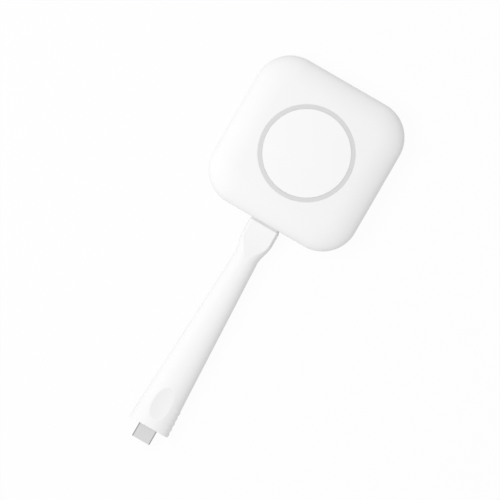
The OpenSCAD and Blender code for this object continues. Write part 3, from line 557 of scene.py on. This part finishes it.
disc_white = moulded("disc_white", (0.925, 0.925, 0.925), (0.915, 0.915, 0.915), 0.36, 0.2 * mm,
                     0.003 * mm)
fitted(smoothed(button), disc_white, "button", "cap_white", "button_cap")

# Upper case
# The same white ABS as the lower case: a flat top with a round opening for the light ring, a
# soft rim all round, and inside it the ring's locating wall, screw posts and half of the clamp.
upper_rim = (9 * mm, 12 * mm, 5.5 * mm)
rebate = lap - 0.1 * mm
upper = case_form("upper_case", 0, 7.2 * mm, upper_rim)
worked(upper, case_form("hollow", wall, 5 * mm, upper_rim))
worked(upper, rounded_square("rebate", puck_half - rebate, 5 * mm, 8.4 * mm,
                             corner_radius - rebate))
worked(upper, round_pegs("posts", post_places, 6.95 * mm, 13.2 * mm, post_radius), "UNION")
worked(upper, clamp_half(5.85 * mm, 13.3 * mm, 5 * mm, upper_rim), "UNION")
wall_out, ring_room = 23.4, flange_out + 0.2
worked(upper, turned_piece("locating_wall", [(flange_out, 10.8), (wall_out, 10.8), (wall_out, 13.2),
                                             (flange_out, 13.2), (flange_out, 10.8)]), "UNION")
worked(upper, turned_piece("clearance", [(0, 8), (ring_room, 8), (ring_room, 12.7), (0, 12.7)]))

# The opening's edge ends a hair above the top, so that the two don't meet in a row of slivers
edge_x, edge_z = band_out + 0.05 + fine_edge, puck_top - fine_edge + 0.002
worked(upper, turned_piece("opening", [(0, 8)] + arc(edge_x, edge_z, fine_edge, 180, 90, 6)
                           + [(edge_x, 16), (0, 16)], 256))
worked(upper, round_pegs("screw_ways", post_places, 5 * mm, 11.7 * mm, 0.85 * mm))
anchor_bed(upper)
fitted(smoothed(upper), case_white, "housing", "shell_white", "top_shell")

# Foot pad
# A square of grey silicone stuck in the seat under the case, with a moulded groove inside its
# edge and a fine dotted grip.
pad = rounded_block("foot_pad", (-pad_half, -pad_half, 0), (pad_half, pad_half, 1.15 * mm),
                    pad_round)
bpy.ops.object.mode_set(mode="EDIT")
pick("EDGE", lambda a, b: abs(a.z) < 1e-6 and abs(b.z) < 1e-6)
bpy.ops.mesh.bevel(offset=0.25 * mm, segments=3, affect="EDGES")
pick("FACE", lambda middle, normal: normal.z < -0.999)
for width, rise in ((2.2, 0), (0.15, -0.2), (0.7, 0), (0.15, 0.2)):
    bpy.ops.mesh.inset(thickness=width * mm, depth=rise * mm)
bpy.ops.object.mode_set(mode="OBJECT")
silicone = Finish("grip_silicone")
studs = silicone.add("ShaderNodeTexVoronoi", {"feature": "F1", "voronoi_dimensions": "2D"}, {
    "Vector": silicone.place, "Scale": 1 / (0.9 * mm), "Randomness": 0.0}, "Distance")
stud = studs < 0.3
dust = silicone.noise(2 * mm, 3.0)
silicone.feed("Base Color", silicone.mix((0.24, 0.245, 0.25), (0.31, 0.315, 0.32),
                                         dust * 0.7 + stud * 0.3))
silicone.feed("Roughness", 0.62 + dust * 0.2)
silicone.relief(stud * 0.8 + dust * 0.2, 0.06 * mm)
fitted(smoothed(pad), silicone, "housing", "pad_grey", "base_pad")

# Tail's anchor, cable and lead
# The cable is overmoulded onto a hard white anchor that the two cases clamp. Four stranded
# wires run from it to a small plug in a cream socket on the board.
# The anchor is mid grey, not white: painted shade for the shadow in the narrow gap between the puck
# and the collar, where its neck shows.
dressed(moulded("anchor_nylon", (0.73, 0.73, 0.73), (0.68, 0.68, 0.68), 0.45, 0.2 * mm,
                0.004 * mm), "tail_anchor")
dressed(moulded("socket_cream", (0.8, 0.77, 0.68), (0.74, 0.7, 0.6), 0.42, 0.12 * mm,
                0.004 * mm), "lead_socket", "lead_plug")
dressed(moulded("cable_jacket", (0.62, 0.62, 0.62), (0.56, 0.56, 0.56), 0.5, 0.3 * mm,
                0.01 * mm), "tail_cable")

lead = Finish("wire_sleeves")
spread = lead.axis("X") / ((lead.axis("Y") + 23.9 * mm) * 0.23 + 0.7 * mm)
scuff = lead.noise(0.3 * mm)
outer_pair = lead.mix((0.62, 0.05, 0.04), (0.03, 0.03, 0.03), spread > 1)
inner_pair = lead.mix((0.86, 0.86, 0.84), (0.05, 0.36, 0.12), spread > 0)
lead.feed("Base Color", lead.mix(inner_pair, outer_pair, abs(spread) > 1))
lead.feed("Roughness", 0.4 + scuff * 0.14)
lead.relief(scuff, 0.004 * mm)
dressed(lead, "lead_wires")

# Pieces inside the plug end
# The cable's braid is crimped in a brass ferrule, its cores are soldered to a small board, and
# a steel can and a hard inner moulding close round them before the sleeve is moulded on.
dressed(worked_metal("ferrule_brass", (0.84, 0.68, 0.36), (0.66, 0.5, 0.24), 0.34,
                     (260, 4200, 260), 0.004 * mm), "crimp_ferrule")
dressed(moulded("inner_moulding", (0.8, 0.8, 0.78), (0.72, 0.72, 0.7), 0.38, 0.4 * mm,
                0.006 * mm), "plug_core")
dressed(can_sheet, "plug_back_can")

# Sleeve of the tail
# Soft-touch white elastomer moulded over the anchor, the cable and the plug's inner moulding:
# a flat collar that sweeps in to a neck, a long flare, a thumb recess and fine side ribs.
collar_start, tail_length, sleeve_edge = 0.9, 97.5, 0.12
collar_width, neck_width, end_width = 14, 10.5, 18.1
collar_thick, neck_thick, end_thick = 5.8, 8.6, 11.2
taper_start, taper_end, swell_start, swell_end = 7, 16, 8.5, 19
recess_start, recess_middle = 78.5, 86
rib_first, rib_pitch, rib_count, rib_height = 86.3, 2.5, 5, 0.27
ribs_start, rows_per_rib = rib_first - rib_pitch / 2, 8


def ease(share):
    share = min(1, max(0, share))
    return share * share * (3 - 2 * share)


def between(a, b, share):
    return a + (b - a) * share


def sleeve_section(s):
    """Half width, half thickness, width and fullness of the sides, by distance from the puck."""
    swell = ease((s - swell_start) / (swell_end - swell_start))
    taper = ease((s - taper_start) / (taper_end - taper_start))
    half_width = between(collar_width, neck_width, taper) / 2
    if s >= taper_end:
        spread = (s - taper_end) / (tail_length - taper_end)
        half_width = between(neck_width, end_width, spread) / 2
    side = between(1.3, 0.97 * half_width, swell)
    if s < swell_end:
        half_height = between(collar_thick, neck_thick, swell) / 2
        return half_width, half_height, side, between(1.5, 2, swell)
    flare = (s - swell_end) / (tail_length - swell_end)
    return half_width, between(neck_thick, end_thick, flare) / 2, side, between(2, 2.05, flare)


def sleeve_ring(s, inset):
    """One section of the sleeve: a flat top and bottom, and sides that are rounded right over."""
    *sizes, power = sleeve_section(s)
    half_width, half_height, side = [size - inset for size in sizes]
    middle = (0, -puck_half - s * mm, tail_height)
    bpy.ops.mesh.select_all(action="DESELECT")
    bpy.ops.mesh.primitive_plane_add(size=1, rotation=(math.radians(90), 0, 0), location=middle)
    bpy.ops.transform.resize(value=(half_width / side, 1, 1), center_override=middle)
    bpy.ops.mesh.bevel(offset=0.5, segments=32, profile=2 ** (-2 / power), affect="VERTICES")
    bpy.ops.transform.resize(value=(2 * side * mm, 1, 2 * half_height * mm),
                             center_override=middle)


def spaced(start, end, count):
    """Sections at even steps, up to but not at the end."""
    return [(between(start, end, i / count), 0) for i in range(count)]


angles = [math.radians(18 * i) for i in range(6)]
edge = [(sleeve_edge * (1 - math.cos(a)), sleeve_edge * (1 - math.sin(a))) for a in angles]
stations = [(collar_start + along, inset) for along, inset in edge] + [(3, 0), (5, 0)]
stations += spaced(taper_start, swell_end, 36) + spaced(swell_end, recess_start, 26)
stations += spaced(recess_start, ribs_start, 20)
stations += [(ribs_start + row * rib_pitch / rows_per_rib, 0)
             for row in range(rows_per_rib * rib_count - 1)]
stations += [(tail_length - along, inset) for along, inset in reversed(edge)]

begin()
bpy.ops.mesh.primitive_plane_add(size=1)
sleeve = placed("grip_sleeve")
bpy.ops.object.mode_set(mode="EDIT")
bpy.ops.mesh.select_all(action="SELECT")
bpy.ops.mesh.delete(type="VERT")
for s, inset in stations:
    sleeve_ring(s, inset)
bpy.ops.mesh.select_all(action="SELECT")
bpy.ops.mesh.remove_doubles(threshold=1e-7)
bpy.ops.mesh.select_mode(type="EDGE")
bpy.ops.mesh.select_all(action="SELECT")
bpy.ops.mesh.delete(type="ONLY_FACE")
bpy.ops.mesh.select_all(action="SELECT")
bpy.ops.mesh.bridge_edge_loops()
for end_s in (collar_start, tail_length):
    end_y = -puck_half - end_s * mm
    pick("EDGE", lambda a, b: abs(a.y - end_y) < 1e-6 and abs(b.y - end_y) < 1e-6)
    bpy.ops.mesh.edge_face_add()
bpy.ops.mesh.select_all(action="SELECT")
bpy.ops.mesh.normals_make_consistent(inside=False)

# The ribs are pushed out in small steps, so that they fade into the round of the sleeve
pushes = 5
for phase in range(1, 5):
    push = rib_height * (1 - math.cos(math.radians(45 * phase))) / 2 / pushes
    rows = [-puck_half - (rib_first + (rib + sign * (4 - phase) / rows_per_rib) * rib_pitch) * mm
            for rib in range(rib_count) for sign in (-1, 1)]
    for hand in (-1, 1):
        for turn in range(pushes):
            reach = (0.62 + 0.2 * (turn + 0.5) / pushes) * mm
            pick("VERT", lambda p: p.x * hand > reach * sleeve_section((-p.y - puck_half) / mm)[0]
                 and any(abs(p.y - row) < 1e-5 for row in rows))
            bpy.ops.transform.translate(value=(hand * push * mm, 0, 0))
bpy.ops.object.mode_set(mode="OBJECT")

# The thumb recess is the hollow that a large smooth egg leaves when it is pressed on the top
egg_across, egg_along, egg_height = 27 * mm, 29.39 * mm, 37.36 * mm
begin()
bpy.ops.mesh.primitive_uv_sphere_add(segments=128, ring_count=256, radius=1,
                                     scale=(egg_across, egg_along, egg_across),
                                     location=(0, -puck_half - recess_middle * mm, egg_height))
egg = placed("egg")
take(sleeve)
press = sleeve.modifiers.new("press", "SHRINKWRAP")
press.target, press.wrap_method, press.project_limit = egg, "PROJECT", 2 * mm
press.use_project_z, press.use_negative_direction, press.use_positive_direction = True, True, False
bpy.ops.object.modifier_apply(modifier=press.name)
bpy.data.objects.remove(egg)
bpy.ops.object.mode_set(mode="EDIT")
soft_half, soft_start, soft_end = 5.6 * mm, 78.7 * mm, 97 * mm
pick("VERT", lambda p: p.z > 9.6 * mm and abs(p.x) < soft_half
     and soft_start < -puck_half - p.y < soft_end)
bpy.ops.mesh.vertices_smooth(factor=0.5)
bpy.ops.object.mode_set(mode="OBJECT")


def tail_bar(name, start, end, width, thickness, radius, segments=8):
    """Rounded bar along the tail, between two distances from the puck, in millimetres."""
    side, half_height = width / 2 * mm, thickness / 2 * mm
    return rounded_block(name, (-side, -puck_half - end * mm, tail_height - half_height),
                         (side, -puck_half - start * mm, tail_height + half_height),
                         radius * mm, 1, segments)


plug_wide, plug_thick, plug_fit = 8.34, 2.56, 0.1
worked(sleeve, tail_bar("spigot_way", -0.5, 6.9, 10.2, 4.5, 1.2))
worked(sleeve, tail_bar("cable_way", 0.5, 80.5, 3.3, 3.3, 1.65, 10))
worked(sleeve, tail_bar("core_way", 79.5, 96.5, 12.4, 6.4, 1.4))
worked(sleeve, tail_bar("plug_way", 95.5, 98.5, plug_wide + plug_fit, plug_thick + plug_fit,
                        (plug_thick + plug_fit) / 2, 12))
elastomer = Finish("soft_elastomer", IOR=1.41)
skin = elastomer.noise(0.18 * mm, 3.0, 0.6)
cloud = elastomer.noise(22 * mm)
# The oval over the thumb recess is painted darker, as painted shade in the hollow, and its
# roughness is lowered a little.
recess_oval_half, recess_oval_long, recess_oval_middle = 3.85 * mm, 7.3 * mm, 86.2 * mm
across = elastomer.axis("X") / recess_oval_half
along = (elastomer.axis("Y") + puck_half + recess_oval_middle) / recess_oval_long
recess_shade_and_polish = (across * across + along * along < 1) * (elastomer.axis("Z") > 9 * mm)
elastomer.feed("Base Color", elastomer.mix(
    elastomer.mix((0.885, 0.885, 0.885), (0.9, 0.9, 0.9), cloud), (0.855, 0.855, 0.855), recess_shade_and_polish))
elastomer.feed("Roughness", 0.5 + (skin - 0.5) * 0.1 + (cloud - 0.5) * 0.08 - recess_shade_and_polish * 0.1)
elastomer.relief(skin, 0.004 * mm)
fitted(smoothed(sleeve, 38), elastomer, "housing", "sleeve_white", "tail_sleeve")

# Plug
# A flat plug that goes in either way up: a seamless drawn steel shell with a rolled front lip,
# round a black insulator that holds twelve gilt contacts in each row and two side latches.
plug_end, shell_wall = 103.95, 0.25
barrel = tail_bar("plug_barrel", 93.3, plug_end, plug_wide, plug_thick, plug_thick / 2, 14)
bpy.ops.object.mode_set(mode="EDIT")
tip_y = -puck_half - plug_end * mm
pick("EDGE", lambda a, b: abs(a.y - tip_y) < 1e-6 and abs(b.y - tip_y) < 1e-6)
bpy.ops.mesh.bevel(offset=0.2 * mm, segments=4, affect="EDGES")
bpy.ops.object.mode_set(mode="OBJECT")
worked(barrel, tail_bar("inside", 92, 103.8, plug_wide - 2 * shell_wall,
                        plug_thick - 2 * shell_wall, plug_thick / 2 - shell_wall, 14))
worked(barrel, tail_bar("mouth", 103, 105, 7.54, 1.76, 0.88, 14))
drawn_steel = Finish("drawn_steel", Metallic=1.0)
streaks = drawn_steel.noise(1.0, 4.0, 0.6, drawn_steel.stretched(5200, 240, 2600))
smear = drawn_steel.noise(2.5 * mm, 3.0)
# Both rounded sides of the shell, from 3.5 mm out, are painted dark grey as painted shade along the
# flanks, and are made a little rougher.
painted_flank_shade = drawn_steel.add("ShaderNodeMapRange", {"interpolation_type": "SMOOTHSTEP"}, {
    "Value": abs(drawn_steel.axis("X")), "From Min": 3.5 * mm, "From Max": 4 * mm})
bright = drawn_steel.mix((0.65, 0.65, 0.65), (0.73, 0.73, 0.73), streaks * 0.6 + smear * 0.4)
drawn_steel.feed("Base Color", drawn_steel.mix(bright, (0.3, 0.3, 0.3), painted_flank_shade))
drawn_steel.feed("Roughness", 0.2 + streaks * 0.1 + smear * 0.06 + painted_flank_shade * 0.1)
drawn_steel.relief(streaks, 0.002 * mm)
fitted(smoothed(barrel), drawn_steel, "housing", "plug_steel", "plug_shell")
dressed(moulded("insulator_black", (0.035, 0.035, 0.037), (0.024, 0.024, 0.026), 0.42, 0.1 * mm,
                0.004 * mm), "plug_insulator")
dressed(worked_metal("gilt_contacts", (0.92, 0.74, 0.36), (0.8, 0.6, 0.26), 0.26,
                     (3800, 240, 3800), 0.001 * mm), "plug_contacts_top", "plug_contacts_bottom")
dressed(worked_metal("latch_steel", (0.72, 0.73, 0.74), (0.56, 0.57, 0.58), 0.3,
                     (3800, 240, 3800), 0.001 * mm), "plug_latches")

# Floor, light and camera
# The dongle lies on a white sweep under an even white sky, with one broad soft lamp from the
# photograph's left, and is seen from straight above through a long lens.
paper_shade, paper_glow, sky_light = 0.8, 0.95, 0.63


def by_ray(tree, light, view):
    """One level for rays that light things, and one for rays that show this to the camera."""
    path = tree.nodes.new("ShaderNodeLightPath")
    seen = path.outputs["Is Camera Ray"]
    for ray in ("Is Glossy Ray", "Is Transmission Ray"):
        either = tree.nodes.new("ShaderNodeMath")
        either.operation = "MAXIMUM"
        tree.links.new(seen, either.inputs[0])
        tree.links.new(path.outputs[ray], either.inputs[1])
        seen = either.outputs[0]
    level = tree.nodes.new("ShaderNodeMapRange")
    level.inputs["To Min"].default_value = light
    level.inputs["To Max"].default_value = view
    tree.links.new(seen, level.inputs["Value"])
    return level.outputs[0]


begin()
bpy.ops.mesh.primitive_plane_add(size=3)
floor = placed("floor")
sweep = bpy.data.materials.new("white_sweep")
sweep.use_nodes = True
tree = sweep.node_tree
tree.nodes.clear()
paper = tree.nodes.new("ShaderNodeBsdfDiffuse")
paper.inputs["Color"].default_value = (paper_shade, paper_shade, paper_shade, 1)
glow = tree.nodes.new("ShaderNodeEmission")
blend = tree.nodes.new("ShaderNodeMixShader")
surface = tree.nodes.new("ShaderNodeOutputMaterial")
tree.links.new(by_ray(tree, 0, paper_glow), blend.inputs[0])
tree.links.new(paper.outputs[0], blend.inputs[1])
tree.links.new(glow.outputs[0], blend.inputs[2])
tree.links.new(blend.outputs[0], surface.inputs["Surface"])
floor.data.materials.append(sweep)

scene = bpy.context.scene
scene.view_settings.view_transform = "Standard"
scene.world = bpy.data.worlds.new("white_sky")
scene.world.use_nodes = True
sky = scene.world.node_tree
backdrop = sky.nodes["Background"]
backdrop.inputs["Color"].default_value = (1, 1, 1, 1)
sky.links.new(by_ray(sky, sky_light, 1), backdrop.inputs["Strength"])

soft_box = bpy.data.lights.new("soft_box", "AREA")
soft_box.shape, soft_box.size, soft_box.energy = "DISK", 0.32, 1.45
lamp = bpy.data.objects.new("soft_box", soft_box)
scene.collection.objects.link(lamp)
lamp.visible_glossy = False
lamp.location = (-0.27, -0.11, 0.476)
lamp.rotation_euler = lamp.location.to_track_quat("Z", "Y").to_euler()

# The picture is 208 mm wide at 10 mm over the floor, where the top of the sleeve is
camera_height, picture_height, picture_width = 3.0, 0.01, 0.208
camera = bpy.data.objects.new("camera", bpy.data.cameras.new("camera"))
scene.collection.objects.link(camera)
camera.location = (-0.25 * mm, -46.55 * mm, camera_height)
camera.rotation_euler = (0, 0, math.radians(30.08))
camera.data.sensor_width = 36
camera.data.lens = 36 * (camera_height - picture_height) / picture_width
camera.data.clip_start, camera.data.clip_end = 0.01, 50
scene.camera = camera
